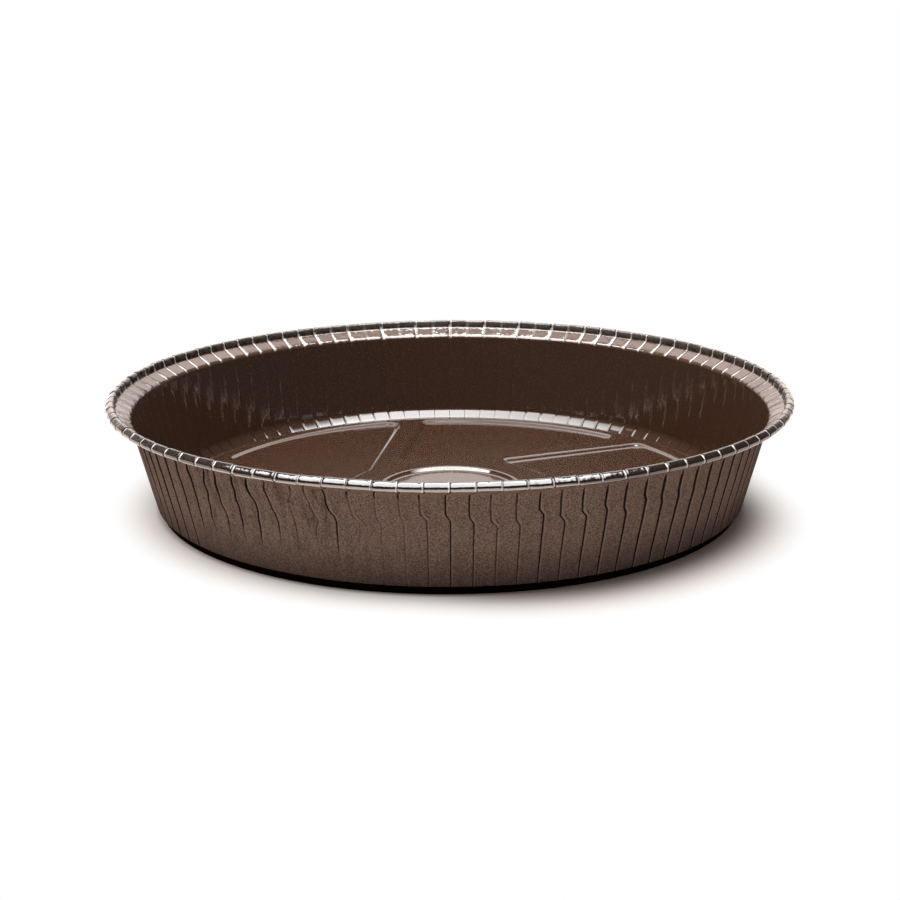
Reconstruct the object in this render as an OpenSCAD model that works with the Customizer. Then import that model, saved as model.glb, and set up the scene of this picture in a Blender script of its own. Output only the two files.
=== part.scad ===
// Round baking mould pressed from one disc of coated brown paper.
// Z is up, the foot stands on z = 0 and the axis of the mould is the Z axis.

/* [Overall] */
// Outer diameter over the rolled rim
outer_d = 210; // [198:1:230]
// Height from the floor to the top of the rim
height = 35; // [28:0.5:50]
// Outer diameter at the lower edge of the wall
base_d = 182.6; // [172:0.2:188]
// Thickness of the pressed paper
sheet_t = 0.45; // [0.3:0.05:0.6]

/* [Rim] */
// Diameter of the rolled bead
bead_d = 2.6; // [2:0.1:3.6]
// Width of the sloping flange between the wall and the bead
flange_w = 4.7; // [3:0.1:7]
// Drop of the flange from the bead to the wall
flange_drop = 2.5; // [1:0.1:4]
// Depth of the crease beside the bead, below the top of the rim
bead_crease_drop = 2.4; // [2.2:0.1:3]

/* [Pleats] */
// Number of pleats round the mould
pleat_count = 100; // [60:1:120]
// Width of the crease at each pleat
crease_w = 0.9; // [0.5:0.1:1.4]
// Depth of the crease in the wall
crease_d = 0.5; // [0.2:0.05:0.8]
// Depth of the crease across the flange and the bead
rim_crease_d = 0.25; // [0.1:0.05:0.4]
// Height over which the creases fade out above the heel
crease_fade = 2.6; // [1:0.1:6]

/* [Heel] */
// Height of the heel under the wall
heel_h = 2.7; // [2.2:0.1:3.6]
// How far the heel steps in from the wall to the floor
heel_in = 1.5; // [0.8:0.1:2]
// Width of the foot ring that stands on the floor
foot_w = 1.2; // [0.8:0.1:2]

/* [Base] */
// Height of the raised parts of the base above the floor
base_rise = 2.1; // [1.7:0.1:2.6]
// Height of the cove between the base and the pleated wall
cove_h = 1.9; // [1.2:0.1:2.6]
// Depth of the sunk panels and of the sunk centre
panel_depth = 1.1; // [0.6:0.1:1.4]
// Level run of the sloping sides of the panels
panel_slope = 2; // [0.8:0.1:2.4]
// Diameter round the sunk panels
panels_d = 166.6; // [150:0.2:170]
// Diameter of the raised hub inside the panels
hub_d = 64; // [60:1:80]
// Diameter of the sunk centre of the hub
centre_d = 44; // [20:1:46]
// Level run of the sloping side of the sunk centre
centre_slope = 1.3; // [0.8:0.1:2]
// Number of raised ribs between the panels
rib_count = 6; // [3:1:8]
// Width of the flat top of each rib
rib_w = 6.3; // [4:0.1:8]
// Distance of each rib's centre line from the axis of the mould
rib_offset = 24.7; // [18:0.1:25]
// Direction of the first rib, in degrees from +X
rib_turn = 82; // [60:1:120]

/* [Hidden] */

$fn = 180;
stations = 3;
outer_r = outer_d / 2;
base_r = base_d / 2;
bead_r = bead_d / 2;
bead_angles = [-110, -55, 0, 45, 90, 135, 185];

// Flange top: from the corner over the wall up to the crease beside the bead
crease_pt = [outer_r - bead_d, height - bead_crease_drop];
corner_pt = crease_pt - [flange_w, flange_drop];
flange_tan = flange_drop / flange_w;
flange_cos = cos(atan(flange_tan));

// Inner face of the wall, a straight line that leans outwards
wall_foot_r = base_r - sheet_t;
wall_tan = (corner_pt.x - wall_foot_r) / (corner_pt.y - heel_h);
wall_cos = cos(atan(wall_tan));
function inner_r(z) = wall_foot_r + (z - heel_h) * wall_tan;
function outer_face_r(z) = inner_r(z) + sheet_t / wall_cos;

// Corner under the flange, one sheet outside the inner corner
under_dz = sheet_t * (flange_tan / wall_cos - 1 / flange_cos) / (1 - wall_tan * flange_tan);
under_z = corner_pt.y + under_dz;

// Cove and heel
cove_top_z = base_rise + cove_h;
fade_z = heel_h + crease_fade;
cove_end_z = base_rise / 2;
cove_end_r = cove_face_r(cove_end_z);
foot_outer_r = base_r - heel_in;
foot_inner_r = foot_outer_r - foot_w;
function cove_face_r(z) = inner_r(cove_top_z) - (cove_top_z - z);
function heel_face_r(z) = foot_outer_r + heel_in * z / heel_h;

// Section of the sheet as a closed loop, each point with the shift that a crease gives it
section = concat(
    [
        [[foot_inner_r, 0], [0, 0]],
        [[foot_outer_r, 0], [0, 0]],
        [[outer_face_r(heel_h), heel_h], [0, 0]],
        [[outer_face_r(fade_z), fade_z], [-crease_d, 0]],
        [[outer_face_r(under_z), under_z], [-rim_crease_d, -rim_crease_d]]
    ],
    [for (a = bead_angles) [
        [outer_r - bead_r + bead_r * cos(a), height - bead_r + bead_r * sin(a)],
        [-rim_crease_d * cos(a), -rim_crease_d * sin(a)]
    ]],
    [
        [crease_pt, [0, -rim_crease_d]],
        [corner_pt, [-rim_crease_d, -rim_crease_d]],
        [[inner_r(cove_top_z + crease_fade), cove_top_z + crease_fade], [-crease_d, 0]],
        [[inner_r(cove_top_z), cove_top_z], [0, 0]],
        [[cove_end_r, cove_end_z], [0, 0]]
    ]
);

// Pleated wall, flange, bead and heel: the section carried round in three stations a pleat
module pleated_shell() {
    m = len(section);
    n = pleat_count * stations;
    pitch = 360 / pleat_count;
    half = atan(crease_w / 2 / base_r);
    points = [
        for (s = [0 : n - 1])
            let (side = s % stations - 1, turn = floor(s / stations) * pitch - 90 + side * half)
            for (p = section)
                let (q = p[0] + (side == 0 ? p[1] : [0, 0]))
                [q.x * cos(turn), q.x * sin(turn), q.y]
    ];
    faces = [
        for (s = [0 : n - 1], j = [0 : m - 1])
            let (t = (s + 1) % n, k = (j + 1) % m)
            for (f = [[s * m + j, s * m + k, t * m + k], [s * m + j, t * m + k, t * m + j]])
                f
    ];
    polyhedron(points = points, faces = faces, convexity = 8);
}

// Straight bar with sloping sides, in the place of one rib; it runs outwards from the hub
module rib_bar(top_z, bottom_z, top_w) {
    slope = panel_slope / panel_depth;
    low_w = top_w + 2 * slope * (top_z - bottom_z);
    high_w = top_w - 2 * slope * sheet_t;
    translate([0, rib_offset, 0])
        rotate([90, 0, 90])
            linear_extrude(height = panels_d)
                polygon([
                    [-low_w / 2, bottom_z], [low_w / 2, bottom_z],
                    [high_w / 2, top_z + sheet_t], [-high_w / 2, top_z + sheet_t]
                ]);
}

// Ring of sunk panels as one body: a ring with sloping sides, parted by the ribs
module panel_ring(top_z, grow) {
    slope = panel_slope / panel_depth;
    bottom_z = top_z - panel_depth;
    out_r = panels_d / 2 + grow;
    in_r = hub_d / 2 - grow;
    difference() {
        rotate_extrude()
            polygon([
                [in_r - slope * sheet_t, top_z + sheet_t], [in_r + panel_slope, bottom_z],
                [out_r - panel_slope, bottom_z], [out_r + slope * sheet_t, top_z + sheet_t]
            ]);
        for (i = [0 : rib_count - 1])
            rotate(rib_turn + i * 360 / rib_count)
                rib_bar(top_z, bottom_z - sheet_t, rib_w - 2 * grow);
    }
}

// Sunk centre of the hub as a body with a sloping side
module centre_dish(top_z, grow) {
    r = centre_d / 2 + grow;
    translate([0, 0, top_z - panel_depth])
        cylinder(h = panel_depth + sheet_t, r1 = r - centre_slope, r2 = r + centre_slope / panel_depth * sheet_t);
}

// Embossed base: a flat sheet with the panels and the centre pressed down out of it;
// its edge lies inside the solid between the cove and the heel
module base() {
    function grow(run) = sheet_t * (norm([run, panel_depth]) - run) / panel_depth;
    edge_r = (cove_face_r(base_rise) + heel_face_r(base_rise)) / 2;
    difference() {
        union() {
            translate([0, 0, base_rise - sheet_t])
                cylinder(h = sheet_t, r = edge_r);
            panel_ring(base_rise - sheet_t, grow(panel_slope));
            centre_dish(base_rise - sheet_t, grow(centre_slope));
        }
        panel_ring(base_rise, 0);
        centre_dish(base_rise, 0);
    }
}

module mold() {
    color("#5c4a40") {
        pleated_shell();
        base();
    }
}

mold();
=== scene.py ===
import math

import bpy
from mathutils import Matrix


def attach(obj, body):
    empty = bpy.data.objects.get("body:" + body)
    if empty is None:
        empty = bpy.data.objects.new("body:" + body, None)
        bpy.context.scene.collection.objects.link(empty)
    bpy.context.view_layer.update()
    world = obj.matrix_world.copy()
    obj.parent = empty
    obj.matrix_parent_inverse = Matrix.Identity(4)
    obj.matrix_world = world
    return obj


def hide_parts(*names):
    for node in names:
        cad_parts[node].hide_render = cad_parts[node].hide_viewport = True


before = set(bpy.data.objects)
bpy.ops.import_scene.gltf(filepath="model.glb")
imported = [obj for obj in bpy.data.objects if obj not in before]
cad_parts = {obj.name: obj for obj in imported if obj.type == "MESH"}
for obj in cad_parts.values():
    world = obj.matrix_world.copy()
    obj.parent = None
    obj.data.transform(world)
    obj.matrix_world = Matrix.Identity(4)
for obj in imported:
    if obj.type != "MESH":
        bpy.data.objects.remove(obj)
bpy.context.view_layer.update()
MM = 0.001

# Camera
# A 63 mm lens stands a little above the rim in front of the mould and looks down into it by 16 degrees.
# The small roll is the photograph's own.
camera = bpy.data.objects.new("camera", bpy.data.cameras.new("camera"))
bpy.context.scene.collection.objects.link(camera)
bpy.context.scene.camera = camera
camera_pitch = math.radians(74.13)
camera_roll = math.radians(-0.301)
camera.data.lens = 63.32
camera.data.clip_start = 0.01
camera.location = (0, -0.4788, 0.15)
camera.rotation_euler = (camera_pitch, 0, 0)
camera.rotation_euler.rotate_axis("Z", camera_roll)

# Studio
# A white floor runs out of view under a pale sky, and one long soft lamp hangs over the front of the mould.
# The side of the room behind the camera is dim, which draws the dark lines in the glossy bead.
scene = bpy.context.scene
scene.view_settings.view_transform = "Standard"


def linear(code, alpha=1.0):
    """Turns an sRGB hex code such as "a0b1c2" to linear red, green, blue and alpha."""
    parts = [int(code[i:i + 2], 16) / 255 for i in (0, 2, 4)]
    return [c / 12.92 if c <= 0.04045 else ((c + 0.055) / 1.055) ** 2.4 for c in parts] + [alpha]


def add(tree, kind, inputs=(), **settings):
    """Adds a node to a tree, with its settings, and links or sets its inputs."""
    node = tree.nodes.new(kind)
    for name, value in settings.items():
        setattr(node, name, value)
    for socket, value in dict(inputs).items():
        if isinstance(value, bpy.types.NodeSocket):
            tree.links.new(value, node.inputs[socket])
        else:
            node.inputs[socket].default_value = value
    return node


def shader_tree(owner):
    """Empties the node tree of a material or a world and gives it back."""
    owner.use_nodes = True
    owner.node_tree.nodes.clear()
    return owner.node_tree


def work_out(tree, known, steps):
    """Adds the named steps of a sum to a tree: a name, an operation and its terms, each a name or a value."""
    for name, operation, *terms in steps:
        inputs = {i: known.get(t, t) if isinstance(t, str) else t for i, t in enumerate(terms)}
        if operation in ("LINEAR", "SMOOTHSTEP"):
            node = add(tree, "ShaderNodeMapRange", inputs, interpolation_type=operation)
        else:
            node = add(tree, "ShaderNodeMath", inputs, operation=operation)
        known[name] = node.outputs[0]


fill_light = 0.24
dim_room = 0.045
backdrop_image = 1.9
softbox_image = 6.5
world = bpy.data.worlds.new("studio")
scene.world = world
sky = shader_tree(world)
ray = add(sky, "ShaderNodeLightPath").outputs
heading = add(sky, "ShaderNodeTexCoord").outputs["Generated"]
heading = add(sky, "ShaderNodeSeparateXYZ", {0: heading}).outputs
light = {"x": heading["X"], "y": heading["Y"], "z": heading["Z"], "glossy": ray["Is Glossy Ray"],
         "through": ray["Is Transmission Ray"], "bounces": ray["Diffuse Depth"]}
work_out(sky, light, (("across", "DIVIDE", "x", "z"), ("back", "DIVIDE", "y", "z"),
                      ("aside", "DIVIDE", "x", "y")))

# In mirror images the lamp is a long soft panel that reaches forward over the camera, and the backdrop stands
# behind the mould; each limit is a place where it is dark and a place where it is fully bright
for name, brightness, limits in (
    ("backdrop", backdrop_image, (("y", 0.05, 0.2), ("z", 1.1, 0.75), ("aside", -0.75, -0.4),
                                  ("aside", 0.75, 0.4))),
    ("softbox", softbox_image, (("across", -0.95, -0.55), ("across", 0.65, 0.35), ("back", -0.72, -0.55),
                                ("back", 0.335, 0.29), ("z", 0.02, 0.1))),
):
    light[name] = brightness
    for limit in limits:
        work_out(sky, light, (("edge", "SMOOTHSTEP", *limit), (name, "MULTIPLY", name, "edge")))
work_out(sky, light, (
    # The backdrop is dimmer low down, and the lamp's far end is the brightest
    ("low", "LINEAR", "z", 0.35, 0.7, 0.7, 1.0),
    ("backdrop", "MULTIPLY", "backdrop", "low"),
    ("far end", "LINEAR", "back", -0.1, 0.25, 1.0, 1.5),
    ("softbox", "MULTIPLY", "softbox", "far end"),
    ("room", "ADD", "backdrop", "softbox"),
    ("room", "ADD", "room", dim_room),
    # Only the coating's own mirror images show the room; all else gets a fill that is stronger from the sides
    ("mirrored", "MAXIMUM", "glossy", "through"),
    ("straight", "LESS_THAN", "bounces", 1),
    ("mirrored", "MULTIPLY", "mirrored", "straight"),
    ("fill", "MULTIPLY_ADD", "x", 0.8 * fill_light, -0.55 * fill_light),
    ("fill", "MULTIPLY_ADD", "x", "fill", 0.8 * fill_light),
    ("from backdrop", "GREATER_THAN", "backdrop", "softbox"),
    ("from backdrop", "MULTIPLY", "from backdrop", "mirrored"),
))
level = add(sky, "ShaderNodeMix", {"Factor": light["mirrored"], "A": light["fill"], "B": light["room"]})
level = add(sky, "ShaderNodeMix", {"Factor": ray["Is Camera Ray"], "A": level.outputs[0], "B": 1.0})
tint = add(sky, "ShaderNodeMix", {"Factor": light["from backdrop"], "A": linear("ffffff"),
                                  "B": linear("fff3ee")}, data_type="RGBA")
backdrop = add(sky, "ShaderNodeBackground", {"Color": tint.outputs["Result"], "Strength": level.outputs[0]})
add(sky, "ShaderNodeOutputWorld", {"Surface": backdrop.outputs[0]})

floor_half = 3.0
floor_mesh = bpy.data.meshes.new("floor")
floor_mesh.from_pydata(
    [(-floor_half, -floor_half, 0), (floor_half, -floor_half, 0), (floor_half, floor_half, 0),
     (-floor_half, floor_half, 0)], [], [(0, 1, 2, 3)])
floor = bpy.data.objects.new("floor", floor_mesh)
scene.collection.objects.link(floor)

# White painted board: even and matt. Outside a painted shadow outline, which reaches furthest to the right
# and forwards, it shows pure white; inside it the board's own shading shows
board = bpy.data.materials.new("white_painted_board")
tree = shader_tree(board)
ray = add(tree, "ShaderNodeLightPath").outputs
place = add(tree, "ShaderNodeTexCoord").outputs["Object"]
place_xyz = add(tree, "ShaderNodeSeparateXYZ", {0: place}).outputs
distance = add(tree, "ShaderNodeVectorMath", {0: place}, operation="LENGTH")
shadow_way = add(tree, "ShaderNodeVectorMath", {0: place, 1: (0.7071, -0.7071, 0)}, operation="DOT_PRODUCT")
light = {"x": place_xyz["X"], "y": place_xyz["Y"], "distance": distance.outputs["Value"],
         "way": shadow_way.outputs["Value"], "camera": ray["Is Camera Ray"], "glossy": ray["Is Glossy Ray"]}
work_out(tree, light, (
    ("way", "DIVIDE", "way", "distance"),
    ("shadowed", "SMOOTHSTEP", "way", 0.6, 1.0),
    ("shadow start", "MULTIPLY_ADD", "shadowed", 0.009, 0.082),
    ("shadow end", "MULTIPLY_ADD", "shadowed", 0.008, 0.106),
    ("beyond", "SMOOTHSTEP", "distance", "shadow start", "shadow end"),
    # Painted contact shadow: next to the heel the white is taken away, so the board's own dark shade shows
    ("clear", "LINEAR", "distance", 0.0895, 0.092),
    ("beyond", "MULTIPLY", "beyond", "clear"),
    ("open floor", "LINEAR", "beyond", 0.8, 1.0),
    ("seen", "MAXIMUM", "camera", "glossy"),
    ("blank", "MULTIPLY", "seen", "beyond"),
    # Painted reflection: to glossy rays the board glows warm white, brightest behind the mould and less at
    # its sides
    ("glare", "LINEAR", "y", -0.36, -0.2, 0.1, 2.6),
    ("right", "LINEAR", "x", 0.045, 0.065, 1.35, 0.5),
    ("left", "LINEAR", "x", -0.1, -0.075, 0.45, 1.0),
    ("glare", "MULTIPLY", "glare", "right"),
    ("glare", "MULTIPLY", "glare", "left"),
))
glare = add(tree, "ShaderNodeMix", {"Factor": light["glossy"], "A": 1.0, "B": light["glare"]})
clean = add(tree, "ShaderNodeMix", {"Factor": light["open floor"], "A": linear("fffcf9"),
                                    "B": linear("ffffff")}, data_type="RGBA")
clean = add(tree, "ShaderNodeMix", {"Factor": light["glossy"], "A": clean.outputs["Result"],
                                    "B": linear("fff0e6")}, data_type="RGBA")
paint = add(tree, "ShaderNodeBsdfDiffuse", {"Color": linear("dccabf")})
white = add(tree, "ShaderNodeEmission", {"Color": clean.outputs["Result"], "Strength": glare.outputs[0]})
both = add(tree, "ShaderNodeMixShader", {0: light["blank"], 1: paint.outputs[0], 2: white.outputs[0]})
add(tree, "ShaderNodeOutputMaterial", {"Surface": both.outputs[0]})
floor_mesh.materials.append(board)

softbox = bpy.data.objects.new("softbox", bpy.data.lights.new("softbox", "AREA"))
softbox.data.shape = "RECTANGLE"
softbox.data.size = 1.25
softbox.data.size_y = 0.5
softbox.data.energy = 12.0
softbox.location = (-0.25, -0.13, 1.0)
softbox.visible_glossy = False
scene.collection.objects.link(softbox)

# Pressed base
# The base of the sheet is pressed flat and raised from the floor, with six sunk panels round a hub, raised
# ribs between them that stand off the axis like a pinwheel, and a sunk centre. The press rounds every edge.
sheet = 0.45 * MM
base_level = 2.1 * MM
strip_edge = 85.6 * MM
strip_edge_below = 85.2 * MM
ring_radius = 82.6 * MM
hub_radius = 32 * MM
centre_radius = 22 * MM
sink = 1.1 * MM
panel_run = 1.9 * MM
centre_run = 1.3 * MM
centre_dip = 0.5 * MM
panel_bend = 3.0 * MM
centre_bend = 1.2 * MM
ribs = 6
first_rib = math.radians(82)
rib_aside = 24.7 * MM
rib_half = 3.15 * MM
outer_corner = 5.0 * MM
inner_corner = 3.1 * MM
edge_margin = 0.3 * MM
pleats = 100
stations = 10
crowding = 2.3


def arc(centre, radius, start, end, count):
    """Points on an arc about a centre, with the angles in radians and both ends in the list."""
    turns = [start + (end - start) * i / (count - 1) for i in range(count)]
    return [(centre[0] + radius * math.cos(a), centre[1] + radius * math.sin(a)) for a in turns]


def turned(points, angle):
    """Points in the plane, turned about the origin."""
    c, s = math.cos(angle), math.sin(angle)
    return [(x * c - y * s, x * s + y * c) for x, y in points]


def panel_outline(inset):
    """Outline of the first panel, anticlockwise, drawn in from its crest by the inset on every side."""
    pitch = 2 * math.pi / ribs
    near = rib_aside + rib_half + inset
    far = rib_aside - rib_half - inset
    quarter = math.pi / 2

    def corner(line, side, radius, bend, outside):
        reach = radius - bend if outside else radius + bend
        y = line + side * bend
        centre = (math.sqrt(reach ** 2 - y ** 2), y)
        return centre, math.atan2(centre[1], centre[0])

    outer, inner = outer_corner - inset, inner_corner - inset
    ring, hub = ring_radius - inset, hub_radius + inset
    b, b_turn = corner(near, 1, ring, outer, True)
    c, c_turn = corner(far, -1, ring, outer, True)
    d, d_turn = corner(far, -1, hub, inner, False)
    a, a_turn = corner(near, 1, hub, inner, False)
    outline = arc(b, outer, -quarter, b_turn, 9)
    outline += arc((0, 0), ring, b_turn, c_turn + pitch, 42)[1:-1]
    outline += turned(arc(c, outer, c_turn, quarter, 9), pitch)
    outline += turned(arc(d, inner, quarter, d_turn + math.pi, 9), pitch)
    outline += arc((0, 0), hub, d_turn + pitch, a_turn, 18)[1:-1]
    outline += arc(a, inner, a_turn + math.pi, 3 * quarter, 9)
    return outline


def centre_outline(inset):
    """Outline of the sunk centre, drawn in from its crest."""
    return arc((0, 0), centre_radius - inset, 0, 2 * math.pi, 121)[:-1]


def pressed_basin(name, outline, level, spread, run, slope_bend, steps, dip=0):
    """Makes the sloping side and the floor of one sunk shape, with a bent edge above and below."""
    slope = math.atan2(sink, run)
    bend = slope_bend * math.tan(slope / 2)
    leans = [slope * i / steps for i in range(steps + 1)]
    rows = [(-bend - edge_margin, 0)]
    rows += [(slope_bend * math.sin(a) - bend, slope_bend * (math.cos(a) - 1)) for a in leans]
    rows += [(run - x, -sink - z) for x, z in reversed(rows)]
    if dip:
        reach = centre_radius - rows[-1][0]
        rows += [(centre_radius - reach * f, -sink - dip * (1 - f)) for f in (0.8, 0.6, 0.4, 0.2, 0.05)]
    loops = [[(x, y, level + z) for x, y in outline(inset - spread)] for inset, z in rows]
    count = len(loops[0])
    faces = []
    for r in range(len(loops) - 1):
        for i in range(count):
            j = (i + 1) % count
            faces.append((r * count + i, r * count + j, (r + 1) * count + j, (r + 1) * count + i))
    faces.append([(len(loops) - 1) * count + i for i in range(count)])
    mesh = bpy.data.meshes.new(name)
    mesh.from_pydata([p for loop in loops for p in loop], [], faces)
    return bpy.data.objects.new(name, mesh)


def loop_object(name, points, z):
    """A closed line of points as an object, for a node tree to read."""
    count = len(points)
    mesh = bpy.data.meshes.new(name)
    mesh.from_pydata([(x, y, z) for x, y in points], [(i, (i + 1) % count) for i in range(count)], [])
    return bpy.data.objects.new(name, mesh)


def node_group(name, inputs):
    """Starts a geometry tree with named inputs, and gives the tree and its input node."""
    tree = bpy.data.node_groups.new(name, "GeometryNodeTree")
    tree.interface.new_socket("Mesh", in_out="OUTPUT", socket_type="NodeSocketGeometry")
    for label, kind in inputs.items():
        tree.interface.new_socket(label, in_out="INPUT", socket_type="NodeSocket" + kind)
    return tree, add(tree, "NodeGroupInput")


def made_by(tree, name, values):
    """Runs a geometry tree with the values of its named inputs and keeps the result as a plain object."""
    holder = bpy.data.objects.new(name + "_tree", bpy.data.meshes.new(name + "_tree"))
    scene.collection.objects.link(holder)
    modifier = holder.modifiers.new("tree", "NODES")
    modifier.node_group = tree
    for item in tree.interface.items_tree:
        if item.in_out == "INPUT":
            modifier[item.identifier] = values[item.name]
    depsgraph = bpy.context.evaluated_depsgraph_get()
    mesh = bpy.data.meshes.new_from_object(holder.evaluated_get(depsgraph))
    bpy.data.objects.remove(holder)
    mesh.name = name
    return bpy.data.objects.new(name, mesh)


tree, given = node_group("Pressed sheet", {
    "Panel": "Object", "Centre": "Object", "Edge": "Object", "Ribs": "Int", "First rib": "Float",
    "Underside": "Bool"})
ring = add(tree, "GeometryNodePoints", {"Count": given.outputs["Ribs"]})
number = add(tree, "GeometryNodeInputIndex")
share = add(tree, "ShaderNodeMath", {0: number.outputs[0], 1: given.outputs["Ribs"]}, operation="DIVIDE")
turn = add(tree, "ShaderNodeMath", {0: share.outputs[0], 1: 2 * math.pi, 2: given.outputs["First rib"]},
           operation="MULTIPLY_ADD")
facing = add(tree, "ShaderNodeCombineXYZ", {"Z": turn.outputs[0]})
panel = add(tree, "GeometryNodeObjectInfo", {"Object": given.outputs["Panel"]})
centre = add(tree, "GeometryNodeObjectInfo", {"Object": given.outputs["Centre"]})
edge = add(tree, "GeometryNodeObjectInfo", {"Object": given.outputs["Edge"]})
panels = add(tree, "GeometryNodeInstanceOnPoints", {
    "Points": ring.outputs[0], "Instance": panel.outputs["Geometry"], "Rotation": facing.outputs[0]})
basins = add(tree, "GeometryNodeJoinGeometry", {0: panels.outputs[0]})
tree.links.new(centre.outputs["Geometry"], basins.inputs[0])
basins = add(tree, "GeometryNodeRealizeInstances", {0: basins.outputs[0]})
neighbours = add(tree, "GeometryNodeInputMeshEdgeNeighbors")
open_edge = add(tree, "FunctionNodeCompare", {2: neighbours.outputs[0], 3: 1}, data_type="INT",
                operation="EQUAL")
crests = add(tree, "GeometryNodeMeshToCurve", {"Mesh": basins.outputs[0], "Selection": open_edge.outputs[0]})
rim_line = add(tree, "GeometryNodeMeshToCurve", {"Mesh": edge.outputs["Geometry"]})
lines = add(tree, "GeometryNodeJoinGeometry", {0: crests.outputs[0]})
tree.links.new(rim_line.outputs[0], lines.inputs[0])
flat = add(tree, "GeometryNodeFillCurve", {"Curve": lines.outputs[0]})
where = add(tree, "GeometryNodeInputPosition")
edge_place = add(tree, "GeometryNodeSampleIndex", {
    "Geometry": edge.outputs["Geometry"], "Value": where.outputs[0], "Index": 0}, data_type="FLOAT_VECTOR")
edge_xyz = add(tree, "ShaderNodeSeparateXYZ", {0: edge_place.outputs[0]})
level = add(tree, "ShaderNodeCombineXYZ", {"Z": edge_xyz.outputs["Z"]})
flat = add(tree, "GeometryNodeSetPosition", {"Geometry": flat.outputs[0], "Offset": level.outputs[0]})
whole = add(tree, "GeometryNodeJoinGeometry", {0: basins.outputs[0]})
tree.links.new(flat.outputs[0], whole.inputs[0])
whole = add(tree, "GeometryNodeMergeByDistance", {"Geometry": whole.outputs[0], "Distance": 0.01 * MM})
turned_over = add(tree, "GeometryNodeFlipFaces", {
    "Mesh": whole.outputs[0], "Selection": given.outputs["Underside"]})
add(tree, "NodeGroupOutput", {0: turned_over.outputs[0]})
pressed_sheet = tree


def edge_line(name, radius, z):
    """The line where the pressed base meets the wall, flat between creases, with the wall's own points."""
    half = math.pi / pleats
    shares = [i / stations - 0.5 for i in range(stations)]
    steps = [math.copysign(0.5 * abs(2 * f) ** crowding, f) for f in shares]
    points = []
    for p in range(pleats):
        for step in steps:
            turn = 2 * half * (p + step) - math.pi / 2
            reach = radius * math.cos(half) / math.cos(half * (1 - 2 * abs(step)))
            points.append((reach * math.cos(turn), reach * math.sin(turn)))
    return loop_object(name, points, z)


base_parts = {}
for side, level, radius, below, bend_steps in (
        ("top", base_level, strip_edge, 0, 5), ("underside", base_level - sheet, strip_edge_below, sheet, 2)):
    panel_spread = below * (math.hypot(panel_run, sink) - panel_run) / sink
    centre_spread = below * (math.hypot(centre_run, sink) - centre_run) / sink
    base_parts[side] = made_by(pressed_sheet, "base_" + side, {
        "Panel": pressed_basin("panel_" + side, panel_outline, level, panel_spread, panel_run,
                               panel_bend, bend_steps),
        "Centre": pressed_basin("centre_" + side, centre_outline, level, centre_spread, centre_run,
                                centre_bend, bend_steps, centre_dip),
        "Edge": edge_line("edge_" + side, radius, level),
        "Ribs": ribs, "First rib": first_rib, "Underside": side == "underside"})


def near_crease(tree, offset, reach, solid=0.5):
    """How near a point lies to a line beside a pleat's crease: 1 on the line, 0 past the reach."""
    place = add(tree, "ShaderNodeTexCoord").outputs["Object"]
    xyz = add(tree, "ShaderNodeSeparateXYZ", {0: place}).outputs
    plan = add(tree, "ShaderNodeCombineXYZ", {"X": xyz["X"], "Y": xyz["Y"]})
    radius = add(tree, "ShaderNodeVectorMath", {0: plan.outputs[0]}, operation="LENGTH")
    line = {"x": xyz["X"], "y": xyz["Y"], "radius": radius.outputs["Value"]}
    for name in ("shift", "width"):
        line[name] = add(tree, "ShaderNodeAttribute", attribute_name=name).outputs["Fac"]
    work_out(tree, line, (
        ("angle", "ARCTAN2", "y", "x"),
        ("angle", "ADD", "angle", math.pi / 2),
        ("shift", "DIVIDE", "shift", "radius"),
        ("angle", "SUBTRACT", "angle", "shift"),
        ("nearest", "SNAP", "angle", 2 * math.pi / pleats),
        ("past", "SUBTRACT", "angle", "nearest"),
        ("past", "MULTIPLY", "past", "radius"),
        ("pitch", "MULTIPLY", "radius", 2 * math.pi / pleats),
        ("away", "SUBTRACT", "past", offset),
        ("away", "DIVIDE", "away", "pitch"),
        ("whole", "ROUND", "away"),
        ("away", "SUBTRACT", "away", "whole"),
        ("away", "MULTIPLY", "away", "pitch"),
        ("away", "ABSOLUTE", "away"),
        ("outer", "MULTIPLY", "width", reach),
        ("inner", "MULTIPLY", "width", reach * solid),
        ("near", "LINEAR", "away", "outer", "inner"),
    ))
    return line["near"]


# Brown baking paper with a clear baked-on coating: dark, with a wet gloss and sharp mirror images. Over the
# flange the colour is paler all over, with a pale line of painted highlight beside each crease. In the
# creases of the bead and of the cove a dark line of painted shade is laid on where the coating is thin and
# dull, and at the sides and the back the bead is paler in lumps
coated = bpy.data.materials.new("brown_paper_clear_coated")
tree = shader_tree(coated)
place = add(tree, "ShaderNodeTexCoord").outputs["Object"]
place_xyz = add(tree, "ShaderNodeSeparateXYZ", {0: place}).outputs
plan = add(tree, "ShaderNodeCombineXYZ", {"X": place_xyz["X"], "Y": place_xyz["Y"]})
radius = add(tree, "ShaderNodeVectorMath", {0: plan.outputs[0]}, operation="LENGTH")
streaked = add(tree, "ShaderNodeVectorMath", {0: place, 1: (700, 700, 45)}, operation="MULTIPLY")
look = {"x": place_xyz["X"], "z": place_xyz["Z"], "radius": radius.outputs["Value"]}
for name in ("strength", "rolled", "worn"):
    look[name] = add(tree, "ShaderNodeAttribute", attribute_name=name).outputs["Fac"]
for name, spot, scale, detail in (("fibre", place, 1400.0, 2.0), ("lumps", place, 800.0, 1.0),
                                  ("ripple", place, 160.0, 2.0), ("crumple", place, 700.0, 1.0),
                                  ("streaks", streaked.outputs[0], 1.0, 1.0)):
    noise = add(tree, "ShaderNodeTexNoise", {"Vector": spot, "Scale": scale, "Detail": detail})
    look[name] = noise.outputs["Fac"]
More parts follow.
